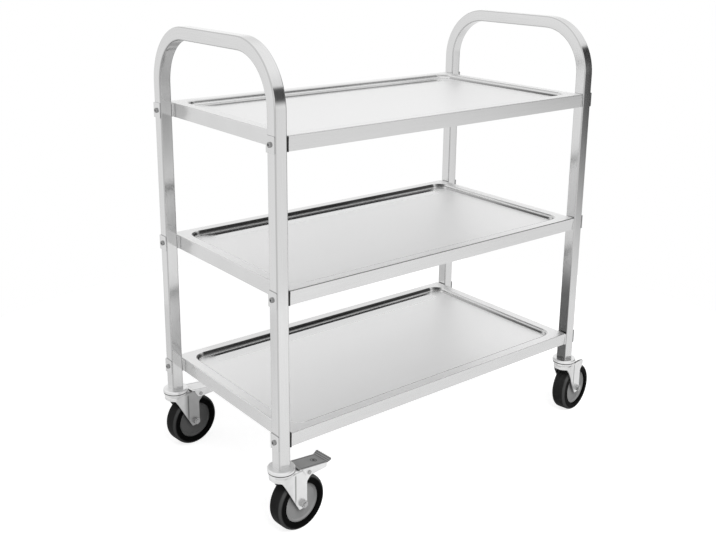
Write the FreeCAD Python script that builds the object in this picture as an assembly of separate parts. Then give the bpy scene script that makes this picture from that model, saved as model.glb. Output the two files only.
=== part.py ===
"""Three-tier serving cart: two bent tube end frames, three pressed trays and four swivel casters.

Millimetres. X runs along the cart, Y across it and Z up. The origin is on the floor, midway between
the four legs. The front is at -Y, and the two casters at -X have a brake pedal.
"""
import FreeCAD, Part
import math
import os

Vector = FreeCAD.Vector

# Cart in plan, over the legs' outer faces
CART_LENGTH = 815.0
CART_WIDTH = 430.0

# Square tube of the end frames
TUBE = 25.0
TUBE_WALL = 1.0
TUBE_EDGE = 2.6
BEND_RADIUS = 105.0

# Heights, each from the piece below it
LEG_STUB = 39.0
TRAY_PITCH = 275.0
HANDLE_RISE = 157.0

# Pressed trays
TRAY_NAMES = ("bottom", "middle", "top")
APRON = 28.0
TRAY_SHEET = 0.8
TRAY_EDGE = 2.0
TRAY_LIP = 12.0
RIM_WIDTH = 24.0
RECESS_DEPTH = 9.0
RECESS_CORNER = 26.0
RECESS_UPPER_BEND = 4.0
RECESS_LOWER_BEND = 4.0

# Clamp joint between a leg and a tray end
PAD_THICKNESS = 3.0
PAD_WIDTH = 16.0
PAD_EDGE = 0.6
CLAMP_PLATE = 2.4
CLAMP_OVERLAP = 1.0
CLAMP_EDGE = 1.2
BOLT_RADIUS = 3.0
BOLT_HOLE_CLEARANCE = 0.2
BOLT_HEAD_RADIUS = 5.0
BOLT_HEAD_HEIGHT = 3.2
BOLT_SOCKET_FLATS = 4.0
BOLT_SOCKET_DEPTH = 1.8
BOLT_END = 3.0
NUT_FLATS = 10.0
NUT_HEIGHT = 5.0

# Plug in a leg's lower end and the stem that it holds
PLUG_HEIGHT = 36.0
PLUG_EDGE = 1.8
STEM_RADIUS = 6.0
STEM_LENGTH = 32.0
STEM_TIP = 1.5

# Swivel bearing
CAP_RADIUS = 26.0
CAP_HEIGHT = 6.6
CAP_EDGE = 2.6
RACE_GAP = 0.6
RING_RADIUS = 24.5
RING_HEIGHT = 6.6
RING_EDGE = 1.6
BALL_RADIUS = 3.0
BALL_CIRCLE = 16.0
BALL_COUNT = 8
BALL_CLEARANCE = 0.1
KINGPIN_RADIUS = 5.0
KINGPIN_HEAD_RADIUS = 9.5
KINGPIN_HEAD_HEIGHT = 3.6
RUNNING_CLEARANCE = 0.06
MOVING_GAP = 0.4

# Wheel
WHEEL_RADIUS = 55.0
TYRE_DEPTH = 16.2
TYRE_WIDTH = 28.5
TYRE_SHOULDER = 7.5
HUB_DISH = 2.4
HUB_LIP = 2.5
HUB_ROUND = 1.0
BOSS_RADIUS = 12.0
TRAIL = 36.5

# Stamped fork
FORK_SHEET = 2.2
FORK_SIDE_GAP = 1.6
FORK_SHOULDER = 5.0
CROWN_CLEARANCE = 13.0
FORK_FRONT_LIP = 9.5
FORK_LIP_AHEAD = 13.0
FORK_TIP_BELOW = 11.0
FORK_TIP_AHEAD = 8.3
FORK_HEEL_BELOW = 9.0
FORK_BACK = 10.0
FORK_NECK = 42.5
FORK_CREASE = 19.0
FORK_FRONT_FLARE = 4.5
FORK_ROUND = 6.0

# Axle
AXLE_RADIUS = 4.0
SLEEVE_WALL = 2.0
AXLE_FLATS = 13.0
AXLE_HEAD_HEIGHT = 5.3
AXLE_NUT_HEIGHT = 6.5
AXLE_END = 1.5

# Brake pedal and its pin
PEDAL_SLOPE = 8.0
PEDAL_TRAVEL = 13.0
PEDAL_SHEET = 1.6
PEDAL_EAR_GAP = 1.2
PEDAL_AHEAD = 16.0
PEDAL_BEHIND = 43.0
PEDAL_TIP_RUN = 9.5
PEDAL_TIP_RISE = 6.5
PEDAL_TIP_FLARE = 2.0
PEDAL_TIP_ROUND = 4.0
PEDAL_FLANGE_DROP = 6.0
PEDAL_SKIRT = 8.0
PEDAL_HOLE_BEHIND = 26.0
PEDAL_HOLE_RADIUS = 3.2
PIN_RADIUS = 2.5
PIN_HEAD_RADIUS = 4.0
PIN_HEAD_HEIGHT = 1.2
PIN_DROP = 10.0
PIN_BEHIND_AXLE = 14.0
PIN_EDGE = 7.0
SHOE_WIDTH = 18.0
SHOE_NEAR = 8.0
SHOE_FAR = 19.0

# Casters: swivel angles in degrees, then name, side in X, side in Y, angle and whether it has a brake
BRAKED_ANGLE = 5.0
FREE_ANGLE = 9.0
CASTERS = (
    ("front_left", -1, -1, BRAKED_ANGLE, True),
    ("back_left", -1, 1, BRAKED_ANGLE, True),
    ("front_right", 1, -1, FREE_ANGLE, False),
    ("back_right", 1, 1, FREE_ANGLE, False),
)

# Places that follow from the sizes above
X_AXIS = Vector(1, 0, 0)
Y_AXIS = Vector(0, 1, 0)
Z_AXIS = Vector(0, 0, 1)
WHEEL_TOP = 2 * WHEEL_RADIUS
HUB_RADIUS = WHEEL_RADIUS - TYRE_DEPTH
CROWN_TOP = WHEEL_TOP + CROWN_CLEARANCE + FORK_SHEET
RING_TOP = CROWN_TOP + RING_HEIGHT
CAP_BOTTOM = RING_TOP + RACE_GAP
BALL_LEVEL = RING_TOP + RACE_GAP / 2
LEG_BOTTOM = CAP_BOTTOM + CAP_HEIGHT
LOWEST_RIM = LEG_BOTTOM + LEG_STUB + APRON
RIM_TOPS = {name: LOWEST_RIM + index * TRAY_PITCH for index, name in enumerate(TRAY_NAMES)}
HANDLE_TOP = LOWEST_RIM + (len(TRAY_NAMES) - 1) * TRAY_PITCH + HANDLE_RISE
LEG_X = (CART_LENGTH - TUBE) / 2
LEG_Y = (CART_WIDTH - TUBE) / 2
TUBE_BORE = TUBE - 2 * TUBE_WALL
TRAY_LENGTH = CART_LENGTH - 2 * TUBE - 2 * PAD_THICKNESS
BOLT_HOLE_RADIUS = BOLT_RADIUS + BOLT_HOLE_CLEARANCE
FORK_INNER = TYRE_WIDTH / 2 + FORK_SIDE_GAP
FORK_OUTER = FORK_INNER + FORK_SHEET
SLEEVE_RADIUS = AXLE_RADIUS + SLEEVE_WALL
PIN_X = TRAIL + PIN_BEHIND_AXLE
PIN_Z = CROWN_TOP - PIN_DROP
PEDAL_INNER = FORK_OUTER + MOVING_GAP
PEDAL_OUTER = PEDAL_INNER + PEDAL_SHEET
PEDAL_UNDERSIDE = PIN_Z + PIN_EDGE + PEDAL_EAR_GAP
PEDAL_TOP = PEDAL_UNDERSIDE + PEDAL_SHEET
SAME_POINT = 1e-4
PIECES = {}


def keep(name, *solids):
    """Files the solids of one named piece or set of like pieces."""
    PIECES.setdefault(name, []).extend(solids)


def outline(corners, place):
    """Closed wire through (u, v, radius) corners, rounded by their radii; place(u, v) puts it in space."""
    stops = []
    for index, (u, v, radius) in enumerate(corners):
        here = Vector(u, v, 0)
        back = (Vector(*corners[index - 1][:2], 0) - here).normalize()
        ahead = (Vector(*corners[(index + 1) % len(corners)][:2], 0) - here).normalize()
        half = back.getAngle(ahead) / 2
        reach = radius / math.tan(half)
        inward = (back + ahead).normalize() * (radius / math.sin(half) - radius) if radius else Vector()
        points = (here + back * reach, here + inward, here + ahead * reach)
        stops.append([place(point.x, point.y) for point in points])
    edges = []
    for index, (start, middle, end) in enumerate(stops):
        following = stops[(index + 1) % len(stops)][0]
        if start.distanceToPoint(end) > SAME_POINT:
            edges.append(Part.Arc(start, middle, end).toShape())
        if end.distanceToPoint(following) > SAME_POINT:
            edges.append(Part.makeLine(end, following))
    return Part.Wire(edges)


def rectangle(size_x, size_y, radius, z):
    """Level rounded rectangle about the Z axis."""
    half_x, half_y = size_x / 2, size_y / 2
    signs = ((-1, -1), (1, -1), (1, 1), (-1, 1))
    corners = [(sx * half_x, sy * half_y, radius) for sx, sy in signs]
    return outline(corners, lambda u, v: Vector(u, v, z))


def prism(wire, run):
    """Solid that the wire's face sweeps along the vector."""
    return Part.Face(wire).extrude(run)


def side_plate(corners, y_from, y_to):
    """Plate with an outline in X and Z, between two Y planes."""
    wire = outline(corners, lambda u, v: Vector(u, y_from, v))
    return prism(wire, Vector(0, y_to - y_from, 0))


def turned(corners):
    """Ring or disc about the Y axis, from an outline in (radius, distance along the axis)."""
    wire = outline(corners, lambda u, v: Vector(u, v, 0))
    return Part.Face(wire).revolve(Vector(), Y_AXIS, 360)


def rod(radius, start, run):
    """Round bar from a point along a vector."""
    return Part.makeCylinder(radius, run.Length, start, run)


def hexagon(flats, start, run):
    """Six-sided bar from a point along a vector, a given width across its flats."""
    circle = Part.Circle(start, run, flats / math.sqrt(3))
    points = [circle.value(math.radians(60 * step)) for step in range(7)]
    return prism(Part.makePolygon(points), run)


def level_edges(shape, z, within=None):
    """Edges that lie at height z, and inside a centred rectangle if one is given."""
    found = []
    for edge in shape.Edges:
        box = edge.BoundBox
        level = abs(box.ZMin - z) < SAME_POINT and abs(box.ZMax - z) < SAME_POINT
        inside = within is None or (box.XMax < within[0] / 2 and box.YMax < within[1] / 2)
        if level and inside:
            found.append(edge)
    return found


def one_solid(shape):
    """The only solid of a result, with its seams merged."""
    solids = shape.removeSplitter().Solids
    if len(solids) != 1:
        raise ValueError(f"expected one solid, found {len(solids)}")
    return solids[0]


def frame_tube(x, section, edge):
    """Inverted U with a rounded square section, along the middle line of one end frame."""
    top = HANDLE_TOP - TUBE / 2
    shoulder_y = LEG_Y - BEND_RADIUS
    shoulder_z = top - BEND_RADIUS
    slant = BEND_RADIUS * math.sqrt(0.5)
    front_arc = Part.Arc(
        Vector(x, -LEG_Y, shoulder_z),
        Vector(x, -shoulder_y - slant, shoulder_z + slant),
        Vector(x, -shoulder_y, top),
    )
    back_arc = Part.Arc(
        Vector(x, shoulder_y, top),
        Vector(x, shoulder_y + slant, shoulder_z + slant),
        Vector(x, LEG_Y, shoulder_z),
    )
    path = Part.Wire([
        Part.makeLine(Vector(x, -LEG_Y, LEG_BOTTOM), Vector(x, -LEG_Y, shoulder_z)),
        front_arc.toShape(),
        Part.makeLine(Vector(x, -shoulder_y, top), Vector(x, shoulder_y, top)),
        back_arc.toShape(),
        Part.makeLine(Vector(x, LEG_Y, shoulder_z), Vector(x, LEG_Y, LEG_BOTTOM)),
    ])
    profile = rectangle(section, section, edge, LEG_BOTTOM)
    profile.translate(Vector(x, -LEG_Y, 0))
    return path.makePipeShell([profile], True, False)


def end_frame(side):
    """One end frame with its bolt holes."""
    x = side * LEG_X
    tube = frame_tube(x, TUBE, TUBE_EDGE).cut(frame_tube(x, TUBE_BORE, TUBE_EDGE - TUBE_WALL))
    for rim_top in RIM_TOPS.values():
        for y in (-LEG_Y, LEG_Y):
            start = Vector(x - TUBE, y, rim_top - APRON / 2)
            tube = tube.cut(rod(BOLT_HOLE_RADIUS, start, X_AXIS * (2 * TUBE)))
    return one_solid(tube)


def tray_form(inset, floor):
    """Outer form of the tray and its recess, moved inward by inset, from z = floor to the rim at z = -inset."""
    length = TRAY_LENGTH - 2 * inset
    width = CART_WIDTH - 2 * inset
    recess_length = TRAY_LENGTH - 2 * RIM_WIDTH + 2 * inset
    recess_width = CART_WIDTH - 2 * RIM_WIDTH + 2 * inset
    recess_floor = -RECESS_DEPTH - inset
    block = prism(rectangle(length, width, TRAY_EDGE - inset, floor), Z_AXIS * (-inset - floor))
    block = block.makeFillet(TRAY_EDGE - inset, level_edges(block, -inset))
    above = RECESS_DEPTH
    recess = prism(rectangle(recess_length, recess_width, RECESS_CORNER + inset, recess_floor),
                   Z_AXIS * (above - recess_floor))
    recess = recess.makeFillet(RECESS_LOWER_BEND + inset, level_edges(recess, recess_floor))
    block = block.cut(recess)
    rim_edges = level_edges(block, -inset, (recess_length + RIM_WIDTH / 2, recess_width + RIM_WIDTH / 2))
    return block.makeFillet(RECESS_UPPER_BEND - inset, rim_edges)


def tray(rim_top):
    """Pressed tray: folded apron with a lip turned in below, flat rim, S-shaped wall and sunk floor."""
    mouth = prism(
        rectangle(TRAY_LENGTH - 2 * TRAY_LIP, CART_WIDTH - 2 * TRAY_LIP, TRAY_EDGE, -APRON),
        Z_AXIS * TRAY_SHEET,
    )
    shell = tray_form(0, -APRON).cut(tray_form(TRAY_SHEET, TRAY_SHEET - APRON)).cut(mouth)
    for side in (-1, 1):
        for y in (-LEG_Y, LEG_Y):
            start = Vector(side * (TRAY_LENGTH / 2 - TRAY_LIP), y, -APRON / 2)
            shell = shell.cut(rod(BOLT_HOLE_RADIUS, start, X_AXIS * (side * 2 * TRAY_LIP)))
    shell.translate(Z_AXIS * rim_top)
    return one_solid(shell)


def clamp_joint(name, side, y, level):
    """Clamp plate, bolt, pad and nut that hold one tray corner to one leg."""
    outward = X_AXIS * side
    leg_outer = Vector(side * CART_LENGTH / 2, y, level)
    leg_inner = leg_outer - outward * TUBE
    tray_end = leg_inner - outward * PAD_THICKNESS
    plate_face = leg_outer + outward * CLAMP_PLATE
    nut_seat = tray_end - outward * TRAY_SHEET
    upright = FreeCAD.Rotation(Z_AXIS, outward)

    def slab(seat, thickness, height, width, edge):
        block = prism(rectangle(height, width, edge, 0), Z_AXIS * thickness)
        block = block.makeFillet(edge / 2, level_edges(block, thickness))
        block = block.cut(rod(BOLT_HOLE_RADIUS, Vector(), Z_AXIS * thickness))
        block.Placement = FreeCAD.Placement(seat, upright)
        return block

    keep(f"{name}_pads", slab(tray_end, PAD_THICKNESS, APRON, PAD_WIDTH, PAD_EDGE))
    keep(f"{name}_clamp_plates", slab(leg_outer, CLAMP_PLATE, APRON + 2 * CLAMP_OVERLAP, TUBE, CLAMP_EDGE))

    head = rod(BOLT_HEAD_RADIUS, Vector(), Z_AXIS * BOLT_HEAD_HEIGHT)
    head = head.makeFillet(BOLT_HEAD_HEIGHT / 2, level_edges(head, BOLT_HEAD_HEIGHT))
    socket_floor = Z_AXIS * (BOLT_HEAD_HEIGHT - BOLT_SOCKET_DEPTH)
    head = head.cut(hexagon(BOLT_SOCKET_FLATS, socket_floor, Z_AXIS * BOLT_HEAD_HEIGHT))
    grip = (plate_face - nut_seat).Length
    shank_run = Z_AXIS * -(grip + NUT_HEIGHT + BOLT_END)
    shank = rod(BOLT_RADIUS, shank_run, -shank_run)
    bolt = head.fuse(shank)
    bolt.Placement = FreeCAD.Placement(plate_face, upright)
    keep(f"{name}_bolts", one_solid(bolt))
    nut_height = outward * -NUT_HEIGHT
    nut = hexagon(NUT_FLATS, nut_seat, nut_height)
    keep(f"{name}_nuts", one_solid(nut.cut(rod(BOLT_RADIUS, nut_seat, nut_height))))


def caster_stem():
    """Threaded stem, race cap and kingpin with its head, all one forging that stays with the leg."""
    cap = rod(CAP_RADIUS, Z_AXIS * CAP_BOTTOM, Z_AXIS * CAP_HEIGHT)
    cap = cap.makeFillet(CAP_EDGE, level_edges(cap, LEG_BOTTOM))
    cap = cap.cut(Part.makeTorus(BALL_CIRCLE, BALL_RADIUS, Z_AXIS * BALL_LEVEL))
    head_top = CROWN_TOP - FORK_SHEET - MOVING_GAP
    head = rod(KINGPIN_HEAD_RADIUS, Z_AXIS * (head_top - KINGPIN_HEAD_HEIGHT), Z_AXIS * KINGPIN_HEAD_HEIGHT)
    head = head.makeFillet(KINGPIN_HEAD_HEIGHT / 2, level_edges(head, head_top - KINGPIN_HEAD_HEIGHT))
    kingpin = rod(KINGPIN_RADIUS, Z_AXIS * head_top, Z_AXIS * (CAP_BOTTOM - head_top))
    stem = rod(STEM_RADIUS, Z_AXIS * LEG_BOTTOM, Z_AXIS * STEM_LENGTH)
    stem = stem.makeChamfer(STEM_TIP, level_edges(stem, LEG_BOTTOM + STEM_LENGTH))
    return one_solid(cap.fuse([head, kingpin, stem]))


def race_balls():
    """Ring of balls between the two races."""
    balls = []
    for index in range(BALL_COUNT):
        angle = 2 * math.pi * index / BALL_COUNT
        centre = Vector(BALL_CIRCLE * math.cos(angle), BALL_CIRCLE * math.sin(angle), BALL_LEVEL)
        balls.append(Part.makeSphere(BALL_RADIUS, centre))
    return balls


def fork_channel(inset, back):
    """Channel round the wheel in plan, round in front and open behind, moved inward by inset."""
    half = FORK_OUTER - inset
    front = half + FORK_FRONT_FLARE
    top = CROWN_TOP - inset
    corners = [
        (back, -half, 0),
        (back, half, 0),
        (FORK_CREASE, half, 0),
        (-front, front, half),
        (-front, -front, half),
        (FORK_CREASE, -half, 0),
    ]
    block = prism(outline(corners, lambda u, v: Vector(u, v, 0)), Z_AXIS * top)
    shoulder = [edge for edge in level_edges(block, top) if edge.BoundBox.XMin < back]
    return block.makeFillet(FORK_SHOULDER - inset, shoulder)


def ear_point(along, above):
    """X and Z at distances along and above the pin, in the sloping frame of the ears and the pedal."""
    slope = math.radians(PEDAL_SLOPE)
    x = PIN_X + along * math.cos(slope) + above * math.sin(slope)
    z = PIN_Z - along * math.sin(slope) + above * math.cos(slope)
    return x, z


def fork():
    """Stamped fork: channel trimmed to the arms' outline, open between the ears, with the race ring on top."""
    back_top = PIN_X + PIN_EDGE
    back_arm = TRAIL + FORK_BACK
    front = -FORK_OUTER - FORK_FRONT_FLARE
    front_lip = CROWN_TOP - FORK_FRONT_LIP
    ear_rise = CROWN_TOP - ear_point(0, PIN_EDGE)[1]
    crown_end = ear_point(-ear_rise / math.sin(math.radians(PEDAL_SLOPE)), PIN_EDGE)[0]
    arms = side_plate([
        (front, CROWN_TOP, 0),
        (crown_end, CROWN_TOP, 0),
        (*ear_point(PIN_EDGE, PIN_EDGE), PIN_EDGE),
        (*ear_point(PIN_EDGE, -PIN_EDGE), PIN_EDGE),
        (back_arm, WHEEL_RADIUS + FORK_NECK, FORK_ROUND),
        (back_arm, WHEEL_RADIUS - FORK_HEEL_BELOW, FORK_ROUND),
        (TRAIL - FORK_TIP_AHEAD, WHEEL_RADIUS - FORK_TIP_BELOW, FORK_ROUND / 2),
        (-FORK_LIP_AHEAD, front_lip, FORK_ROUND),
        (front, front_lip, 0),
    ], front, -front)
    channel = fork_channel(0, back_top).cut(fork_channel(FORK_SHEET, back_top + FORK_SHEET))
    between_ears = side_plate([
        (crown_end, CROWN_TOP, 0),
        (back_top, CROWN_TOP, 0),
        (back_top, CROWN_TOP - FORK_SHOULDER, 0),
        (crown_end, CROWN_TOP - FORK_SHOULDER, 0),
    ], -FORK_INNER, FORK_INNER)
    shell = channel.common(arms).cut(between_ears)
    ring = rod(RING_RADIUS, Z_AXIS * CROWN_TOP, Z_AXIS * RING_HEIGHT)
    ring = ring.makeFillet(RING_EDGE, level_edges(ring, CROWN_TOP) + level_edges(ring, RING_TOP))
    ring = ring.cut(Part.makeTorus(BALL_CIRCLE, BALL_RADIUS + BALL_CLEARANCE, Z_AXIS * BALL_LEVEL))
    bore = rod(KINGPIN_RADIUS + RUNNING_CLEARANCE, Vector(), Z_AXIS * RING_TOP)
    across = Y_AXIS * (2 * FORK_OUTER)
    axle_hole = rod(AXLE_RADIUS, Vector(TRAIL, -FORK_OUTER, WHEEL_RADIUS), across)
    return one_solid(shell.fuse(ring).cut(bore).cut(axle_hole))


def axle_bolt():
    """Axle bolt with a six-sided head on the far arm."""
    head = hexagon(AXLE_FLATS, Vector(TRAIL, FORK_OUTER, WHEEL_RADIUS), Y_AXIS * AXLE_HEAD_HEIGHT)
    length = 2 * FORK_OUTER + AXLE_NUT_HEIGHT + AXLE_END
    shank = rod(AXLE_RADIUS, Vector(TRAIL, FORK_OUTER, WHEEL_RADIUS), Y_AXIS * -length)
    return one_solid(head.fuse(shank))


def axle_nut():
    """Nut on the near arm."""
    start = Vector(TRAIL, -FORK_OUTER, WHEEL_RADIUS)
    run = Y_AXIS * -AXLE_NUT_HEIGHT
    return hexagon(AXLE_FLATS, start, run).cut(rod(AXLE_RADIUS, start, run))


def axle_sleeve():
    """Tube clamped between the arms, which the wheel runs on."""
    start = Vector(TRAIL, -FORK_INNER, WHEEL_RADIUS)
    run = Y_AXIS * (2 * FORK_INNER)
    return rod(SLEEVE_RADIUS, start, run).cut(rod(AXLE_RADIUS, start, run))


def wheel_hub():
    """Moulded hub: dished disc with a lip at its rim and a boss that stops short of the arms."""
    bore = SLEEVE_RADIUS + RUNNING_CLEARANCE
    rim = TYRE_WIDTH / 2 - HUB_LIP / 2
    disc = rim - HUB_DISH
    boss = FORK_INNER - MOVING_GAP
    upper = [
        (bore, boss, 0),
        (BOSS_RADIUS, boss, HUB_ROUND),
        (BOSS_RADIUS, disc, HUB_ROUND),
        (HUB_RADIUS - 2 * HUB_LIP, disc, HUB_ROUND),
        (HUB_RADIUS - HUB_LIP, rim, HUB_ROUND / 2),
        (HUB_RADIUS, rim, 0),
    ]
    lower = [(radius, -height, round_off) for radius, height, round_off in reversed(upper)]
    hub = turned(upper + lower)
    hub.translate(Vector(TRAIL, 0, WHEEL_RADIUS))
    return hub


def tyre():
    """Rubber tyre with rounded shoulders, seated on the hub."""
    half = TYRE_WIDTH / 2
    seat = half - HUB_LIP / 2
    ring = turned([
        (HUB_RADIUS, seat, 0),
        (WHEEL_RADIUS, half, TYRE_SHOULDER),
        (WHEEL_RADIUS, -half, TYRE_SHOULDER),
        (HUB_RADIUS, -seat, 0),
    ])
    ring.translate(Vector(TRAIL, 0, WHEEL_RADIUS))
    return ring


def pedal():
    """Brake pedal: bent plate with side flanges on the pin and a shoe over the tyre, released."""
    ahead = PIN_X - PEDAL_AHEAD
    bend = PIN_X + PEDAL_BEHIND
    tip = bend + PEDAL_TIP_RUN
    tip_half = PEDAL_OUTER + PEDAL_TIP_FLARE
    flange_low = PIN_Z - PEDAL_FLANGE_DROP
    plate = side_plate([
        (ahead, PEDAL_UNDERSIDE, 0),
        (bend, PEDAL_UNDERSIDE, PEDAL_TIP_ROUND + PEDAL_SHEET),
        (tip, PEDAL_UNDERSIDE + PEDAL_TIP_RISE, 0),
        (tip, PEDAL_TOP + PEDAL_TIP_RISE, 0),
        (bend, PEDAL_TOP, PEDAL_TIP_ROUND),
        (ahead, PEDAL_TOP, 0),
    ], -tip_half, tip_half)
    plan = outline([
        (ahead, -PEDAL_OUTER, 0),
        (bend, -PEDAL_OUTER, 0),
        (tip, -tip_half, PEDAL_TIP_FLARE),
        (tip, tip_half, PEDAL_TIP_FLARE),
        (bend, PEDAL_OUTER, 0),
        (ahead, PEDAL_OUTER, 0),
    ], lambda u, v: Vector(u, v, PIN_Z))
    plate = plate.common(prism(plan, Z_AXIS * CROWN_TOP))
    flange_corners = [
        (ahead, PEDAL_TOP, 0),
        (ahead, PEDAL_UNDERSIDE - PEDAL_SHEET, PEDAL_SHEET),
        (PIN_X - PEDAL_FLANGE_DROP, flange_low, PEDAL_FLANGE_DROP / 2),
        (PIN_X + PEDAL_FLANGE_DROP, flange_low, PEDAL_FLANGE_DROP / 2),
        (bend, PEDAL_UNDERSIDE - PEDAL_SKIRT, PEDAL_FLANGE_DROP / 2),
        (bend, PEDAL_TOP, 0),
    ]
    near = side_plate(flange_corners, -PEDAL_OUTER, -PEDAL_INNER)
    far = side_plate(flange_corners, PEDAL_INNER, PEDAL_OUTER)
    shoe = side_plate([
        (PIN_X + SHOE_NEAR, PEDAL_UNDERSIDE, 0),
        (PIN_X + SHOE_FAR, PEDAL_UNDERSIDE, 0),
        (PIN_X + SHOE_FAR, WHEEL_RADIUS + WHEEL_RADIUS / 2, 0),
        (PIN_X + SHOE_NEAR, WHEEL_RADIUS + WHEEL_RADIUS / 2, 0),
    ], -SHOE_WIDTH / 2, SHOE_WIDTH / 2)
    pin = Vector(PIN_X, 0, PIN_Z)
    tread_start = Vector(TRAIL, -TYRE_WIDTH, WHEEL_RADIUS)
    pressed_tread = rod(WHEEL_RADIUS + MOVING_GAP, tread_start, Y_AXIS * (2 * TYRE_WIDTH))
    pressed_tread.rotate(pin, Y_AXIS, -PEDAL_SLOPE - PEDAL_TRAVEL)
    shoe = max(shoe.cut(pressed_tread).Solids, key=lambda solid: solid.CenterOfMass.z)
    hole_start = Vector(PIN_X + PEDAL_HOLE_BEHIND, 0, PEDAL_UNDERSIDE)
    hole = rod(PEDAL_HOLE_RADIUS, hole_start, Z_AXIS * PEDAL_SHEET)
    pin_hole = rod(PIN_RADIUS + RUNNING_CLEARANCE, pin - Y_AXIS * PEDAL_OUTER, Y_AXIS * (2 * PEDAL_OUTER))
    level = one_solid(plate.fuse([near, far, shoe]).cut(hole).cut(pin_hole))
    level.rotate(pin, Y_AXIS, PEDAL_SLOPE)
    return level


def pedal_pin():
    """Riveted pin through the fork's arms that the pedal tips on."""
    seat = PEDAL_OUTER + MOVING_GAP / 2
    pin = rod(PIN_RADIUS, Vector(PIN_X, -seat, PIN_Z), Y_AXIS * (2 * seat))
    for side in (-1, 1):
        head = rod(PIN_HEAD_RADIUS, Vector(PIN_X, side * seat, PIN_Z), Y_AXIS * (side * PIN_HEAD_HEIGHT))
        pin = pin.fuse(head)
    return one_solid(pin)


def leg_plug():
    """Square plug that fills the leg's lower end round the stem."""
    plug = prism(rectangle(TUBE_BORE, TUBE_BORE, PLUG_EDGE, LEG_BOTTOM), Z_AXIS * PLUG_HEIGHT)
    return plug.cut(rod(STEM_RADIUS, Z_AXIS * LEG_BOTTOM, Z_AXIS * PLUG_HEIGHT))


def caster(name, side_x, side_y, angle, braked):
    """All pieces of one caster under its leg, turned to its angle."""
    fork_solid = fork()
    solids = {
        "plug": [leg_plug()],
        "stem": [caster_stem()],
        "race_balls": race_balls(),
        "axle": [axle_bolt()],
        "axle_nut": [axle_nut()],
        "axle_sleeve": [axle_sleeve()],
        "hub": [wheel_hub()],
        "tyre": [tyre()],
    }
    if braked:
        solids["pedal"] = [pedal()]
        solids["pedal_pin"] = [pedal_pin()]
        across = Y_AXIS * (2 * FORK_OUTER)
        fork_solid = one_solid(fork_solid.cut(rod(PIN_RADIUS, Vector(PIN_X, -FORK_OUTER, PIN_Z), across)))
    solids["fork"] = [fork_solid]
    for piece, shapes in solids.items():
        for shape in shapes:
            if piece != "plug":
                shape.rotate(Vector(), Z_AXIS, angle)
            shape.translate(Vector(side_x * LEG_X, side_y * LEG_Y, 0))
        keep(f"{piece}_{name}", *shapes)


def build():
    """Makes every piece and writes one file for each name."""
    keep("left_end_frame", end_frame(-1))
    keep("right_end_frame", end_frame(1))
    for name, rim_top in RIM_TOPS.items():
        keep(f"{name}_tray", tray(rim_top))
        for side in (-1, 1):
            for y in (-LEG_Y, LEG_Y):
                clamp_joint(f"{name}_tray", side, y, rim_top - APRON / 2)
    for layout in CASTERS:
        caster(*layout)
    os.makedirs("parts", exist_ok=True)
    for name, solids in PIECES.items():
        shape = solids[0] if len(solids) == 1 else Part.makeCompound(solids)
        if not shape.isValid():
            raise ValueError(f"{name} is not valid")
        shape.exportStep(f"parts/{name}.step")
    print(len(PIECES), "pieces, handle top at", HANDLE_TOP)


build()
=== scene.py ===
"""Looks of a three-tier serving cart: bent tube frames, pressed trays, swivel casters and a plain stage."""

import math

import bmesh
import bpy
from bpy.props import FloatProperty, FloatVectorProperty, PointerProperty
from mathutils import Matrix, Vector


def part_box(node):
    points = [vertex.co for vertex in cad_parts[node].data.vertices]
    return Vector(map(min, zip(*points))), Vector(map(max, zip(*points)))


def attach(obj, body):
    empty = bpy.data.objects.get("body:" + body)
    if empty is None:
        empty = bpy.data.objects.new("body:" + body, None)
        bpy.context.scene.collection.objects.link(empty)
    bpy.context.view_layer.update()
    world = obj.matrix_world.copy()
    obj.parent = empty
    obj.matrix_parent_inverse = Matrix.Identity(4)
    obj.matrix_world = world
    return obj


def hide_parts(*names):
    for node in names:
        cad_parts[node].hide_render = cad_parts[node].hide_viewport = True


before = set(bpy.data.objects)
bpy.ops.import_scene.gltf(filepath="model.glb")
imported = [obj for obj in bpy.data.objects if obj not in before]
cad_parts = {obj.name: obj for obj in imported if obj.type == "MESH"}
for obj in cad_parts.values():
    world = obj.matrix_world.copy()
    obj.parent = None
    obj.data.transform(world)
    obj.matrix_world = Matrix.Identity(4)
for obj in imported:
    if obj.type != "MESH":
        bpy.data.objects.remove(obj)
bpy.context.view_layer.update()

bl_info = {
    "name": "Serving cart",
    "version": (1, 0, 0),
    "blender": (4, 5, 0),
    "location": "3D View > Sidebar > Cart",
    "description": "Dresses the packed frame of a three-tier stainless serving cart",
    "category": "Object",
}

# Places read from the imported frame
LEFT_LOW, LEFT_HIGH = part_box("left_end_frame")
RIGHT_LOW, RIGHT_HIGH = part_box("right_end_frame")
TUBE = LEFT_HIGH.x - LEFT_LOW.x
LEG_X = (RIGHT_LOW.x + RIGHT_HIGH.x) / 2
LEG_Y = LEFT_HIGH.y - TUBE / 2
LEG_BOTTOM = LEFT_LOW.z
HANDLE_TOP = LEFT_HIGH.z
TYRE_LOW, TYRE_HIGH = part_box("tyre_front_left")
WHEEL_RADIUS = (TYRE_HIGH.z - TYRE_LOW.z) / 2
TYRE_WIDTH = TYRE_HIGH.y - TYRE_LOW.y
TRAIL = (TYRE_LOW.x + TYRE_HIGH.x) / 2 + LEG_X
PIN_LOW, PIN_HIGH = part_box("pedal_pin_front_left")
PIN_X = (PIN_LOW.x + PIN_HIGH.x) / 2 + LEG_X
PIN_Z = (PIN_LOW.z + PIN_HIGH.z) / 2

TRAYS = ("bottom_tray", "middle_tray", "top_tray")
# Casters: name; side in X, side in Y and swivel angle in degrees; whether it has a brake
CASTERS = (
    ("front_left", (-1, -1, 5), True),
    ("back_left", (-1, 1, 5), True),
    ("front_right", (1, -1, 9), False),
    ("back_right", (1, 1, 9), False),
)

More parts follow.
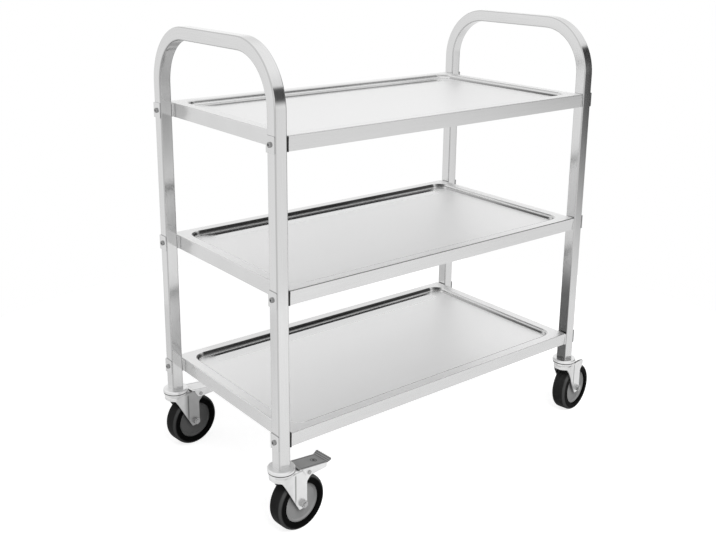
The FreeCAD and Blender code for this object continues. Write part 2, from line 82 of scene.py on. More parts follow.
# Steps of the round shapes
EDGE_STEPS = 3
RIVET_EDGE_STEPS = 4
CORNER_STEPS = 5
FINE_STEPS = 8
WALL_STEPS = 14
BEND_STEPS = 28
RIVET_STEPS = 32
TURN_STEPS = 96
FLOOR_STEPS = 96

# Limits: lengths that count as nothing, smooth and square edges in radians, and how far an upright face looks up
TINY = 1e-6
SMOOTH_BELOW = math.radians(32)
SQUARE_ABOVE = 1.4
UPRIGHT_BELOW = 0.5
# From the fork up to the dust skirt's top; the ring of a floor beside its wall, and a tube's rounding, as shares
RACE_GAP = 0.0006
FLOOR_RING = 1.25
ROUNDED_PART = 0.75

# Painted shade on the walls of a recess, from the rim at 0 to the floor at 1
DEEP_SHADE = ((0, 0), (0.015, 0.92), (0.45, 0.92), (0.75, 0.72), (0.9, 0.35), (0.97, 0.3), (1, 0))
FAINT_SHADE = ((0, 0), (0.1, 0), (0.2, 0.45), (0.45, 0.45), (0.55, 0.03), (1, 0))
LONG_WALL_SHADE = {"bottom_tray": DEEP_SHADE, "middle_tray": DEEP_SHADE, "top_tray": FAINT_SHADE}
END_WALL_SHADE = ((0, 0), (0.06, 0.55), (0.25, 0.1), (0.5, 0), (0.7, 1), (0.97, 1), (1, 0))
# Shares of it round a corner, from the long wall at 0 to the end wall at 90 degrees
ROUND_LONG = ((0, 1), (11, 0.05), (23, 0), (67, 0), (79, 0.05), (90, 0))
ROUND_CORNER = ((0, 0), (11, 0), (23, 0.75), (34, 1), (56, 1), (67, 0.75), (79, 0), (90, 0))
ROUND_END = ((0, 0), (79, 0), (90, 1))
# Shares of it at the back and at the front of a tray
CORNER_SHARE = (1.0, 0.1)
END_SHARE = (0.3, 0.9)
# The painted line of shade on a tray's front fold, and between which parts of the fold's radius it lies
FOLD_DARK = {"bottom_tray": 0.1, "middle_tray": 0.75, "top_tray": 0.25}
FOLD_LINE = (0.05, 0.75)
# How far up a face looks that is level, or that looks down, and how matt a rim is
LEVEL_ABOVE = 0.999
DOWN_BELOW = -0.3
RIM_MATT = 0.85


def length(label, text, default):
    """A length that a user may change."""
    return FloatProperty(name=label, description=text, default=default, min=0, unit="LENGTH", precision=4)


def tint(label, text, default):
    """A colour that a user may change."""
    return FloatVectorProperty(name=label, description=text, default=default, min=0, max=1, subtype="COLOR")


class CartFrameSizes(bpy.types.PropertyGroup):
    """Sizes of the bent tube frames."""

    edge: length("Edge radius", "Rounding of the square tube's long edges", 0.0026)
    wall: length("Wall", "Thickness of the tube's wall", 0.001)
    bend: length("Bend radius", "Radius of the handle's bends at the tube's middle", 0.105)


class CartTraySizes(bpy.types.PropertyGroup):
    """Sizes of the pressed trays."""

    sheet: length("Sheet", "Thickness of the tray's sheet", 0.0008)
    edge: length("Fold radius", "Rounding of the fold between rim and apron", 0.0018)
    lip: length("Lip", "Width of the lip turned in below the apron", 0.012)
    rim: length("Rim width", "From the tray's edge to the start of its recess", 0.02)
    depth: length("Recess depth", "From the rim down to the floor", 0.009)
    wall: length("Recess wall", "Width in plan of the S-shaped wall from rim to floor", 0.0094)
    polish: length("Polished strip", "Width of the floor that the press left polished beside the wall", 0.027)
    lean: length("Apron lean", "How far the long aprons lean in at their lower edge", 0.003)
    corner: length("Recess corner", "Radius of the recess in plan, at the rim", 0.03)


class CartJointSizes(bpy.types.PropertyGroup):
    """Sizes of the joints between trays and legs."""

    pad_inset: length("Pad inset", "How much narrower than the tube the pads are", 0.0008)
    pad_edge: length("Pad edge", "Rounding of the pads", 0.0005)
    pad_drop: length("Pad drop", "From the tray's rim down to the pads' top", 0.0025)


class CartCasterSizes(bpy.types.PropertyGroup):
    """Sizes of the casters."""

    shoulder: length("Tyre shoulder", "Rounding of the tyre's shoulders", 0.0075)
    hub: length("Hub radius", "Radius of the hub under the tyre", 0.0388)
    bead: length("Tyre bead", "Width of the groove in the tyre beside the hub", 0.0013)
    crease: length("Fork crease", "From the swivel axis to the crease in the fork's arms", 0.019)
    slope: FloatProperty(name="Pedal slope", description="How far the released pedal slopes down",
                         default=math.radians(8), subtype="ANGLE")
    pedal_half: length("Pedal half width", "From the pedal's middle to its flanges", 0.0201)
    pedal_rise: length("Pedal rise", "From the pedal's pin up to its top face", 0.0098)
    pedal_bend: length("Pedal bend", "From the pedal's pin back to its upturned tip", 0.043)
    pedal_sheet: length("Pedal sheet", "Thickness of the pedal's plate", 0.0016)
    pedal_front: length("Pedal front", "From the pedal's pin forward to the start of its flanges", 0.016)
    tongue: length("Pedal tongue", "How far the plate reaches on ahead of its flanges", 0.007)
    rivet: length("Pedal rivet", "Radius of the rivet in the pedal", 0.0031)
    rivet_back: length("Rivet place", "From the pedal's pin back to its rivet", 0.026)
    ring: length("Race ring", "Radius of the swivel's lower race", 0.0245)
    skirt: length("Dust skirt", "How far the skirt hangs down round the lower race", 0.0022)


class CartFinishes(bpy.types.PropertyGroup):
    """Colours of the finishes."""

    steel: tint("Stainless", "Brushed stainless tube and sheet", (0.80, 0.80, 0.80))
    plated: tint("Plated steel", "Bright plated caster parts", (0.92, 0.92, 0.92))
    fastener: tint("Fasteners", "Bolts, nuts and pins", (0.34, 0.34, 0.34))
    axle: tint("Axles", "Axle bolts and their nuts", (0.5, 0.5, 0.5))
    rivet: tint("Rivets", "Blackened rivets of the pedals", (0.05, 0.05, 0.05))
    rubber: tint("Rubber", "Tyres", (0.0025, 0.0025, 0.0025))
    hub: tint("Hub", "Moulded wheel hubs", (0.25, 0.25, 0.25))
    nylon: tint("Black nylon", "Pads and leg plugs", (0.02, 0.02, 0.02))


class CartStage(bpy.types.PropertyGroup):
    """Camera, floor and light."""

    floor: length("Floor radius", "Radius of the pale floor", 1.25)
    place: FloatVectorProperty(name="Camera place", description="Where the camera stands",
                               default=(-1.2735, -1.5242, 1.0768), subtype="TRANSLATION")
    azimuth: FloatProperty(name="Camera azimuth", description="Turn of the camera round the cart",
                           default=math.radians(-38.5225), subtype="ANGLE")
    elevation: FloatProperty(name="Camera elevation", description="How far the camera looks down",
                             default=math.radians(15.2374), subtype="ANGLE")
    roll: FloatProperty(name="Camera roll", description="Turn of the camera about its own axis",
                        default=math.radians(0.5539), subtype="ANGLE")
    lens: FloatProperty(name="Lens", description="Focal length for a 36 mm sensor", default=48.618)
    shift: FloatProperty(name="Camera shift", description="Vertical lens shift", default=-0.0978)


class Wire:
    """One node's output; arithmetic on it adds Math nodes to the same tree."""

    def __init__(self, tree, socket=None):
        self.tree = tree
        self.socket = socket

    def node(self, kind, settings=None, inputs=None, output=0):
        """Adds a node, applies its settings, sets or links its inputs and returns one of its outputs."""
        made = self.tree.nodes.new(kind)
        for name, value in (settings or {}).items():
            setattr(made, name, value)
        for key, value in (inputs or {}).items():
            if isinstance(value, Wire):
                self.tree.links.new(value.socket, made.inputs[key])
            else:
                made.inputs[key].default_value = value
        return Wire(self.tree, made.outputs[output] if made.outputs else None)

    def math(self, operation, *values):
        return self.node("ShaderNodeMath", {"operation": operation}, dict(enumerate(values)))

    def __add__(self, other):
        return self.math("ADD", self, other)

    __radd__ = __add__

    def __sub__(self, other):
        return self.math("SUBTRACT", self, other)

    def __rsub__(self, other):
        return self.math("SUBTRACT", other, self)

    def __mul__(self, other):
        return self.math("MULTIPLY", self, other)

    __rmul__ = __mul__

    def __truediv__(self, other):
        return self.math("DIVIDE", self, other)

    def __rtruediv__(self, other):
        return self.math("DIVIDE", other, self)

    def ramp(self, low, high, start=0.0, end=1.0):
        """Smooth step of this value from low to high, as start to end."""
        return self.node("ShaderNodeMapRange", {"interpolation_type": "SMOOTHSTEP"},
                         {0: self, 1: low, 2: high, 3: start, 4: end})

    def fade(self, low, high, start=1.0):
        """Smooth step of this value from low to high, as start to nothing."""
        return self.ramp(low, high, start, 0.0)

    def blend(self, first, second):
        """Colour mix with this value as its factor."""
        return self.node("ShaderNodeMix", {"data_type": "RGBA"}, {0: self, 6: first, 7: second}, 2)

    def noise(self, coords, scale, detail=2.0, roughness=0.5):
        """Noise at these coordinates, stretched by a scale for each axis."""
        spot = self.node("ShaderNodeMapping", {}, {"Vector": coords, "Scale": scale})
        return self.node("ShaderNodeTexNoise", {}, {"Vector": spot, "Scale": 1.0, "Detail": detail,
                                                    "Roughness": roughness})


# Brushed steel: shares of its colour, what its roughness gains and loses, and its streaks, clouds and marks
STREAK_SHADE = 0.93
# EDGE_SHADE is the painted line of shade along rounded edges
EDGE_SHADE = 0.74
FLOOR_SHADE = 1.17
UNDER_SHADE = 1.08
STREAK_ROUGH = 0.06
CLOUD_ROUGH = 0.04
MARK_ROUGH = 0.03
FLOOR_ROUGH = 0.2
UNDER_ROUGH = 0.25
STRIP_POLISH = 0.66
FLOOR_HAZE = 0.15
STREAK_DEPTH = 0.000004
STREAK_EDGES = (0.3, 0.7)
MARK_EDGES = (0.58, 0.78)
CLOUD_SHARE = 0.4
MARK_SCALE = 9.0

# Painted shade on steel and hubs: how much, and between which places it fades
SHADOW_BLACK = (0.006, 0.006, 0.006, 1.0)
FACE_FADE = (0.0006, 0.0014)
HANDLE_FADE = (0.70, 0.85)
HANDLE_DIM = (0.08, 0.38)
LEG_FADE = (0.35, 0.95)
LEG_DIM = 0.76
PLATE_FADE = (0.0014, 0.0004)
PLATE_DIM = 0.35
ARM_SIDE = (-0.012, -0.006)
ARM_FADE = 0.014
ARM_DIM = 0.1
FORK_DIM = {"front_left": 0.0, "back_left": 0.5, "front_right": 0.0, "back_right": 0.0}
PEDAL_DIM = {"front_left": 0.5, "back_left": 0.1}
HUB_FADE = 0.05
HUB_DIM = 0.5

# Plated steel: ripple, duller patches, and the creases of its pressings with a bump and a painted line of shade
PLATED_ROUGH = 0.30
RIPPLE_SCALE = 160.0
RIPPLE_DEPTH = 0.00006
PATCH_SCALE = 45.0
PATCH_EDGES = (0.3, 0.75)
PATCH_SHADE = 0.92
PATCH_ROUGH = 0.12
CREASE_SHADE = 0.16
CREASE_ROUGH = 0.15
CREASE_DEPTH = 2.0

# Painted lines of shade, with a bump, at the creases of a fork's arms and at the beads, ribs and dimple of a
# pedal
ARM_CREASE = (0.0003, 0.003)
ARM_CREASE_LOW = (0.052, 0.075)
ARM_CREASE_HIGH = (0.116, 0.121)
ARM_CREASE_DARK = 0.7
PEDAL_TOP = (0.0006, 0.0001)
BEAD_INSET = 0.0035
BEAD_WIDTH = (0.0004, 0.0016)
BEAD_END = (0.003, 0.001)
BEAD_DARK = 0.6
RIB_TURNS = 1900.0
RIB_EDGES = (0.2, 0.9)
RIB_START = 0.001
RIB_DARK = 0.7
DIMPLE_REACH = 1.9
DIMPLE_WIDTH = (0.0004, 0.0019)

# Rubber and nylon
DUST_SCALE = 35.0
DUST_ROUGH = 0.14
TYRE_GRAIN = 2600.0
GRAIN_DEPTH = 0.00002
TYRE_ROUGH = 0.42
TYRE_SHINE = 0.02
# Painted highlight round the tyres' shoulders: where it rises and fades, its share on the tread, its clouding
# and base, its level and roughness
HIGHLIGHT_START = (0.1, 0.5)
HIGHLIGHT_END = (0.75, 1.0)
HIGHLIGHT_TREAD = 0.3
HIGHLIGHT_CLOUDS = 0.8
HIGHLIGHT_BASE = 0.6
HIGHLIGHT_LEVEL = 30.0
HIGHLIGHT_ROUGH = 0.1


def start_material(name):
    """An empty material and the wire that its nodes start from."""
    made = bpy.data.materials.new(name)
    made.use_nodes = True
    made.node_tree.nodes.clear()
    return made, Wire(made.node_tree)


def close_material(made, wire, sockets, bump, depth, shadow=None):
    """Gives the material its surface, which is black and matt by the amount of shadow."""
    sockets["Normal"] = wire.node("ShaderNodeBump", {}, {"Height": bump, "Strength": 1.0, "Distance": depth})
    surface = wire.node("ShaderNodeBsdfPrincipled", {}, sockets)
    if shadow:
        black = wire.node("ShaderNodeBsdfDiffuse", {}, {"Color": SHADOW_BLACK})
        surface = wire.node("ShaderNodeMixShader", {}, {0: shadow, 1: surface, 2: black})
    wire.node("ShaderNodeOutputMaterial", {}, {"Surface": surface})
    return made


def shade(colour, level):
    """A colour for a node's socket, made lighter or darker."""
    return (*(channel * level for channel in colour), 1.0)


def even(scale):
    """The same scale for each axis."""
    return (scale, scale, scale)


def mark_of(wire, name, output="Fac"):
    """What an attribute of the piece says at each point."""
    return wire.node("ShaderNodeAttribute", {"attribute_name": name}, {}, output)


def axes_of(wire, coords):
    """The three numbers of a vector."""
    outputs = wire.node("ShaderNodeSeparateXYZ", {}, {0: coords}).socket.node.outputs
    return [Wire(wire.tree, output) for output in outputs]


def object_coords(wire):
    """Places in the cart."""
    return wire.node("ShaderNodeTexCoord", {}, {}, "Object")


def grain_coords(wire):
    """Places along and across a tube, as if it were straight."""
    return mark_of(wire, "grain", "Vector")


def brushed(name, colour, coords_of, fine, broad, rough, strip_of=None, dark_of=None):
    """Brushed steel: fine streaks along the grain, faint clouding and a few handling marks.

    Faces that look down are dull, level sheet is matt but for a polished strip, and painted shade darkens the
    rounded edges and the marked places.
    """
    made, wire = start_material(name)
    coords = coords_of(wire)
    streaks = wire.noise(coords, fine, detail=3.0, roughness=0.6)
    clouds = wire.noise(coords, broad)
    marks = wire.noise(coords, even(MARK_SCALE), detail=4.0, roughness=0.6).ramp(*MARK_EDGES)
    dull, shade_and_polish, level, edge = (mark_of(wire, mark) for mark in ("dull", "shade_and_polish", "level", "edge"))
    strip = strip_of(wire, coords) if strip_of else 0.0
    polish = wire.math("MAXIMUM", shade_and_polish, level * strip)
    # Painted shade from the marks and from dark_of, mixed in as black
    dark = wire.math("MAXIMUM", shade_and_polish, dark_of(wire)) if dark_of else shade_and_polish
    matt = level * (1.0 - strip)
    ground = rough + (streaks - 0.5) * STREAK_ROUGH + (clouds - 0.5) * CLOUD_ROUGH + marks * MARK_ROUGH
    bright = (clouds * CLOUD_SHARE + streaks * (1.0 - CLOUD_SHARE)).ramp(*STREAK_EDGES)
    # Painted shade: a dark line along the rounded edges
    tone = edge.blend(bright.blend(shade(colour, STREAK_SHADE), shade(colour, 1.0)), shade(colour, EDGE_SHADE))
    return close_material(made, wire, {
        "Base Color": dull.blend(matt.blend(tone, shade(colour, FLOOR_SHADE)), shade(colour, UNDER_SHADE)),
        "Metallic": 1.0 - matt * FLOOR_HAZE,
        "Roughness": ground * (1.0 - polish * STRIP_POLISH) + dull * UNDER_ROUGH + matt * FLOOR_ROUGH,
    }, streaks, STREAK_DEPTH, dark)


def tube_shade(wire):
    """Painted shade on a tube's inner sides: the front legs over the bottom tray, and the left handle."""
    x, y, z = axes_of(wire, object_coords(wire))
    off = axes_of(wire, grain_coords(wire))[1]
    near, far = FACE_FADE
    within = off.fade(near - TUBE / 2, far - TUBE / 2)
    handle = within * x.fade(-LEG_X / 2, 0.0) * z.ramp(*HANDLE_FADE, *HANDLE_DIM)
    floor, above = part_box(TRAYS[0])[1].z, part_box(TRAYS[1])[0].z
    heights = [floor + (above - floor) * share for share in LEG_FADE]
    inner = wire.math("ABSOLUTE", x).fade(RIGHT_LOW.x + near, RIGHT_LOW.x + far)
    leg = inner * y.fade(-LEG_Y / 2, 0.0) * z.fade(*heights, LEG_DIM)
    return wire.math("MAXIMUM", leg, handle)


def tube_steel(look):
    """Brushed along the tube, round its bends too."""
    return brushed("tube_steel", look.steel, grain_coords, fine=(900.0, 900.0, 14.0), broad=(30.0, 30.0, 3.0),
                   rough=0.13, dark_of=tube_shade)


def beside_wall(wire, coords):
    """1 on the strip of a tray's floor beside the long back wall, fading to 0 further in and at its ends."""
    size = bpy.context.scene.cart_tray
    x, y = axes_of(wire, coords)[:2]
    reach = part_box(TRAYS[0])[1]
    start = size.rim + size.wall
    from_end = reach.x - wire.math("ABSOLUTE", x)
    return ((reach.y - y).fade(start + size.polish, start + 2 * size.polish)
            * from_end.ramp(start + size.polish / 2, start + 2 * size.polish))


def sheet_steel(look):
    """Brushed along the trays."""
    return brushed("sheet_steel", look.steel, object_coords, fine=(14.0, 900.0, 900.0), broad=(3.0, 12.0, 12.0),
                   rough=0.24, strip_of=beside_wall)


def plate_shade(wire):
    """Painted shade on the narrow sides of the clamp plates."""
    reach = wire.math("ABSOLUTE", axes_of(wire, object_coords(wire))[0])
    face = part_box(f"{TRAYS[0]}_clamp_plates")[1].x
    over_leg = reach.ramp(RIGHT_LOW.x, RIGHT_HIGH.x)
    return over_leg * reach.fade(*(face - depth for depth in PLATE_FADE), PLATE_DIM)


def plate_steel(look):
    """Brushed up and down the clamp plates."""
    return brushed("plate_steel", look.steel, object_coords, fine=(900.0, 900.0, 20.0), broad=(40.0, 40.0, 9.0),
                   rough=0.14, dark_of=plate_shade)


def plated(name, colour, rough, coords_of=object_coords, lines_of=None, dim_of=None):
    """Bright plated steel: slight ripple and clouding, with duller patches.

    A pressing has painted lines of shade, with a bump, where its sheet was creased, and painted shade where
    dim_of puts it.
    """
    made, wire = start_material(name)
    coords = coords_of(wire)
    height = wire.noise(coords, even(RIPPLE_SCALE))
    clouds = wire.noise(coords, even(PATCH_SCALE), detail=3.0)
    tone = clouds.ramp(*PATCH_EDGES).blend(shade(colour, PATCH_SHADE), shade(colour, 1.0))
    ground = rough + (clouds - 0.5) * PATCH_ROUGH
    dim = None
    if lines_of:
        axes = axes_of(wire, coords)
        line = lines_of(wire, *axes)
        # Painted shade along the creases, beads and ribs
        tone = line.blend(tone, shade(colour, CREASE_SHADE))
        ground = ground + line * CREASE_ROUGH
        height = height - line * CREASE_DEPTH
        # Painted shade over whole stretches of the pressing
        dim = dim_of(*axes)
    return close_material(made, wire, {"Base Color": tone, "Metallic": 1.0, "Roughness": ground},
                          height, RIPPLE_DEPTH, dim)


def caster_steel(look):
    """Stems and race balls."""
    return plated("caster_steel", look.plated, PLATED_ROUGH)


def axle_steel(look):
    """Axles with their nuts and sleeves, and the pedals' pins."""
    return plated("axle_steel", look.axle, rough=0.26)


def rivet_steel(look):
    """Blackened rivets of the pedals."""
    return plated("rivet_steel", look.rivet, rough=0.32)


def fastener_steel(look):
    """Bolts and nuts of the clamp joints."""
    return plated("fastener_steel", look.fastener, rough=0.28)


def caster_coords(wire, side_x, side_y, angle):
    """Object coordinates in a caster's own frame, with its swivel axis at the origin."""
    return wire.node("ShaderNodeMapping", {"vector_type": "TEXTURE"}, {
        "Vector": object_coords(wire), "Location": (side_x * LEG_X, side_y * LEG_Y, 0),
        "Rotation": (0, 0, math.radians(angle))})


def fork_steel(look, size, name, stand):
    """Steel of one fork, with a painted line of shade and a bump down the crease of both arms, and painted shade
    on its -Y cheek.
    """
    def fork_coords(wire):
        return caster_coords(wire, *stand)

    def lines(wire, x, y, z):
        across = wire.math("ABSOLUTE", x - size.crease).fade(*ARM_CREASE)
        return across * z.ramp(*ARM_CREASE_LOW) * z.fade(*ARM_CREASE_HIGH) * ARM_CREASE_DARK

    # Painted shade on the -Y cheek, stronger behind the crease on the back left fork
    def dim(x, y, z):
        return y.fade(*ARM_SIDE) * x.ramp(size.crease - ARM_FADE, size.crease, ARM_DIM, FORK_DIM[name])

    return plated(f"fork_steel_{name}", look.plated, PLATED_ROUGH, fork_coords, lines, dim)


def pedal_steel(look, size, name, stand):
    """Steel of one pedal, with beads along its edges, ribs at its tip and a dimple round its rivet, as bumps
    with painted lines of shade, and painted shade on its top.
    """
    def pedal_coords(wire):
        return wire.node("ShaderNodeMapping", {"vector_type": "TEXTURE"}, {
            "Vector": caster_coords(wire, *stand), "Location": (PIN_X, 0, PIN_Z),
            "Rotation": (0, size.slope, 0)})

    def top_face(z):
        return z.ramp(*(size.pedal_rise - below for below in PEDAL_TOP))

    def lines(wire, x, y, z):
        bead = wire.math("ABSOLUTE", wire.math("ABSOLUTE", y) - size.pedal_half + BEAD_INSET).fade(*BEAD_WIDTH)
        bead = bead * x.fade(*(size.pedal_bend - ahead for ahead in BEAD_END))
        reach = wire.math("SQRT", (x - size.rivet_back) * (x - size.rivet_back) + y * y)
        dimple = wire.math("ABSOLUTE", reach - size.rivet * DIMPLE_REACH).fade(*DIMPLE_WIDTH)
        ribs = wire.math("SINE", (x - size.pedal_bend) * RIB_TURNS).ramp(*RIB_EDGES)
        ribs = ribs * x.ramp(size.pedal_bend - RIB_START, size.pedal_bend)
        pressed = wire.math("MAXIMUM", bead, dimple)
        return wire.math("MAXIMUM", pressed * BEAD_DARK, ribs * RIB_DARK) * top_face(z)

    # Painted shade on the pedal's top
    def dim(x, y, z):
        return top_face(z) * PEDAL_DIM[name]

    return plated(f"pedal_steel_{name}", look.plated, PLATED_ROUGH, pedal_coords, lines, dim)


def moulded(name, colour, rough, scale, depth, spread, shine, dim_of=None):
    """Moulded plastic: fine grain, cloudy tone and faint dust."""
    made, wire = start_material(name)
    coords = object_coords(wire)
    grain = wire.noise(coords, even(scale), detail=3.0, roughness=0.6)
    clouds = wire.noise(coords, even(DUST_SCALE), detail=3.0)
    return close_material(made, wire, {
        "Base Color": clouds.ramp(*PATCH_EDGES).blend(shade(colour, 1.0), shade(colour, spread)),
        "Roughness": rough + (clouds - 0.5) * DUST_ROUGH,
        "Specular IOR Level": shine,
    # dim_of, where given, adds painted shade
    }, grain, depth, dim_of(*axes_of(wire, coords)) if dim_of else None)


def tyre_rubber(look):
    """Black rubber, with a painted highlight round its shoulders."""
    made, wire = start_material("tyre_rubber")
    coords = object_coords(wire)
    grain = wire.noise(coords, even(TYRE_GRAIN), detail=3.0, roughness=0.6)
    clouds = wire.noise(coords, even(DUST_SCALE), detail=3.0)
    shoulder_turn = mark_of(wire, "shoulder_turn")
    shoulder = shoulder_turn.ramp(*HIGHLIGHT_START) * shoulder_turn.ramp(*HIGHLIGHT_END, 1.0, HIGHLIGHT_TREAD)
    # Painted highlight on the shoulders, clouded
    painted_highlight = shoulder * (clouds * HIGHLIGHT_CLOUDS + HIGHLIGHT_BASE)
    return close_material(made, wire, {
        "Base Color": painted_highlight.blend(shade(look.rubber, 1.0), shade(look.rubber, HIGHLIGHT_LEVEL)),
        "Roughness": TYRE_ROUGH + (clouds - 0.5) * DUST_ROUGH + painted_highlight * HIGHLIGHT_ROUGH,
        "Specular IOR Level": TYRE_SHINE,
    }, grain, GRAIN_DEPTH)


def hub_nylon(look):
    """Grey hubs, with painted shade on the back left one."""
    # Painted shade on the back left hub
    def dim(x, y, z):
        return x.fade(-HUB_FADE, 0.0) * y.ramp(0.0, HUB_FADE) * HUB_DIM

    return moulded("hub_nylon", look.hub, rough=0.45, scale=3200.0, depth=GRAIN_DEPTH, spread=1.1, shine=0.3,
                   dim_of=dim)


def black_nylon(look):
    """Pads, leg plugs and dust skirts."""
    return moulded("black_nylon", look.nylon, rough=0.5, scale=3000.0, depth=0.00003, spread=1.4, shine=0.2)


FINISHES = {maker.__name__: maker for maker in (
    tube_steel, sheet_steel, plate_steel, caster_steel, axle_steel, rivet_steel, fastener_steel, tyre_rubber,
    hub_nylon, black_nylon)}


def finish(name):
    """The material of that name, made on first use."""
    made = bpy.data.materials.get(name)
    return made or FINISHES[name](bpy.context.scene.cart_finishes)


def dress(nodes, material):
    """Gives CAD nodes whose shape is right their finish."""
    for node in nodes:
        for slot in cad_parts[node].material_slots:
            slot.material = material


def place_piece(name, bm, body, material, nodes):
    """Turns a finished shape into a piece that rides on a body in place of its CAD nodes."""
    mesh = bpy.data.meshes.new(name)
    bm.to_mesh(mesh)
    bm.free()
    mesh.shade_smooth()
    mesh.set_sharp_from_angle(angle=SMOOTH_BELOW)
    mesh.materials.append(material)
    piece = bpy.data.objects.new(name, mesh)
    flats = piece.modifiers.new("flats", "WEIGHTED_NORMAL")
    flats.keep_sharp = True
    bpy.context.scene.collection.objects.link(piece)
    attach(piece, body)
    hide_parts(*nodes)
    return piece


def merge_shape(bm, part, place=Matrix()):
    """Puts a copy of one shape into another and frees it."""
    mesh = bpy.data.meshes.new("shape")
    part.to_mesh(mesh)
    part.free()
    mesh.transform(place)
    bm.from_mesh(mesh)
    bpy.data.meshes.remove(mesh)


def verts_of(geom):
    return [item for item in geom if isinstance(item, bmesh.types.BMVert)]


def edges_of(geom):
    return [item for item in geom if isinstance(item, bmesh.types.BMEdge)]


def round_corners(bm, verts, offset, segments):
    """Rounds corners of a flat outline."""
    bmesh.ops.bevel(bm, geom=verts, offset=offset, offset_type="OFFSET", affect="VERTICES",
                    segments=segments, profile=0.5, material=-1)


def round_edges(bm, edges, offset):
    """Rounds edges of a shape."""
    bmesh.ops.bevel(bm, geom=edges, offset=offset, offset_type="OFFSET", affect="EDGES",
                    segments=EDGE_STEPS, profile=0.5, material=-1)


def outlined(corners, segments=CORNER_STEPS):
    """Flat face through (x, y, radius) corners, each rounded by its radius."""
    bm = bmesh.new()
    verts = [bm.verts.new((x, y, 0)) for x, y, radius in corners]
    bm.faces.new(verts)
    for index, (x, y, radius) in enumerate(corners):
        if radius:
            here = Vector((x, y))
            back = Vector(corners[index - 1][:2]) - here
            ahead = Vector(corners[(index + 1) % len(corners)][:2]) - here
            round_corners(bm, [verts[index]], radius / math.tan(back.angle(ahead) / 2), segments)
    return bm


def rectangle(size_x, size_y, radius, segments=CORNER_STEPS):
    """Flat rounded rectangle about the Z axis."""
    half_x, half_y = size_x / 2, size_y / 2
    signs = ((-1, -1), (1, -1), (1, 1), (-1, 1))
    return outlined([(sx * half_x, sy * half_y, radius) for sx, sy in signs], segments)


def turned(corners, segments, steps=TURN_STEPS):
    """Ring or disc about the Z axis, from an outline in (radius, height, rounding)."""
    bm = outlined(corners, segments)
    bmesh.ops.delete(bm, geom=bm.faces[:], context="FACES_ONLY")
    on_axis = [edge for edge in bm.edges if all(abs(vert.co.x) < TINY for vert in edge.verts)]
    bmesh.ops.delete(bm, geom=on_axis, context="EDGES")
    bmesh.ops.rotate(bm, verts=bm.verts[:], cent=(0, 0, 0), matrix=Matrix.Rotation(math.pi / 2, 3, "X"))
    bmesh.ops.spin(bm, geom=bm.verts[:] + bm.edges[:], cent=(0, 0, 0), axis=(0, 0, 1), dvec=(0, 0, 0),
                   angle=2 * math.pi, steps=steps, use_merge=True)
    bmesh.ops.remove_doubles(bm, verts=bm.verts[:], dist=TINY)
    bmesh.ops.recalc_face_normals(bm, faces=bm.faces[:])
    return bm


def give_thickness(bm, thickness):
    """Turns a sheet whose faces point outwards into a wall that grows inwards."""
    bmesh.ops.solidify(bm, geom=bm.faces[:], thickness=thickness)


def raised(bm, height):
    """Turns a flat face into a block of that height, and returns the block's square edges."""
    top = bmesh.ops.extrude_face_region(bm, geom=bm.faces[:])["geom"]
    bmesh.ops.translate(bm, vec=(0, 0, height), verts=verts_of(top))
    bmesh.ops.recalc_face_normals(bm, faces=bm.faces[:])
    return [edge for edge in bm.edges if len(edge.link_faces) == 2 and edge.calc_face_angle() > SQUARE_ABOVE]


def caster_place(side_x, side_y, angle):
    """From a caster's own frame, with its swivel axis at the origin, to its leg."""
    turn = Matrix.Rotation(math.radians(angle), 4, "Z")
    return Matrix.Translation((side_x * LEG_X, side_y * LEG_Y, 0)) @ turn


def wheel_place(side_x, side_y, angle):
    """From a shape turned about Z to the wheel's axle."""
    upright = Matrix.Rotation(-math.pi / 2, 4, "X")
    return caster_place(side_x, side_y, angle) @ Matrix.Translation((TRAIL, 0, WHEEL_RADIUS)) @ upright


def pedal_place():
    """From the frame of a released pedal, with its pin at the origin, to its caster's own frame."""
    slope = Matrix.Rotation(bpy.context.scene.cart_caster.slope, 4, "Y")
    return Matrix.Translation((PIN_X, 0, PIN_Z)) @ slope


def handle_shoulder():
    """Where the handle's bends have their centres: out in Y and up in Z."""
    bend = bpy.context.scene.cart_frame.bend
    return LEG_Y - bend, HANDLE_TOP - TUBE / 2 - bend


def frame_tube(x):
    """Square tube swept up one leg, round the handle and down the other leg."""
    size = bpy.context.scene.cart_frame
    bm = rectangle(TUBE, TUBE, size.edge)
    bmesh.ops.delete(bm, geom=bm.faces[:], context="FACES_ONLY")
    bmesh.ops.translate(bm, vec=(x, -LEG_Y, LEG_BOTTOM), verts=bm.verts[:])
    shoulder_y, shoulder_z = handle_shoulder()
    rise = Vector((0, 0, shoulder_z - LEG_BOTTOM))
    across = Vector((0, 2 * shoulder_y, 0))

    def run(edges, vector):
        made = bmesh.ops.extrude_edge_only(bm, edges=edges)["geom"]
        bmesh.ops.translate(bm, vec=vector, verts=verts_of(made))
        return edges_of(made)

    def bend(edges, y):
        made = bmesh.ops.spin(bm, geom=edges, cent=(x, y, shoulder_z), axis=(1, 0, 0), dvec=(0, 0, 0),
                              angle=-math.pi / 2, steps=BEND_STEPS)["geom_last"]
        return edges_of(made)

    edges = run(bm.edges[:], rise)
    edges = bend(edges, -shoulder_y)
    edges = run(edges, across)
    edges = bend(edges, shoulder_y)
    run(edges, -rise)
    bmesh.ops.remove_doubles(bm, verts=bm.verts[:], dist=TINY)
    bmesh.ops.recalc_face_normals(bm, faces=bm.faces[:])
    give_thickness(bm, size.wall)
    return bm


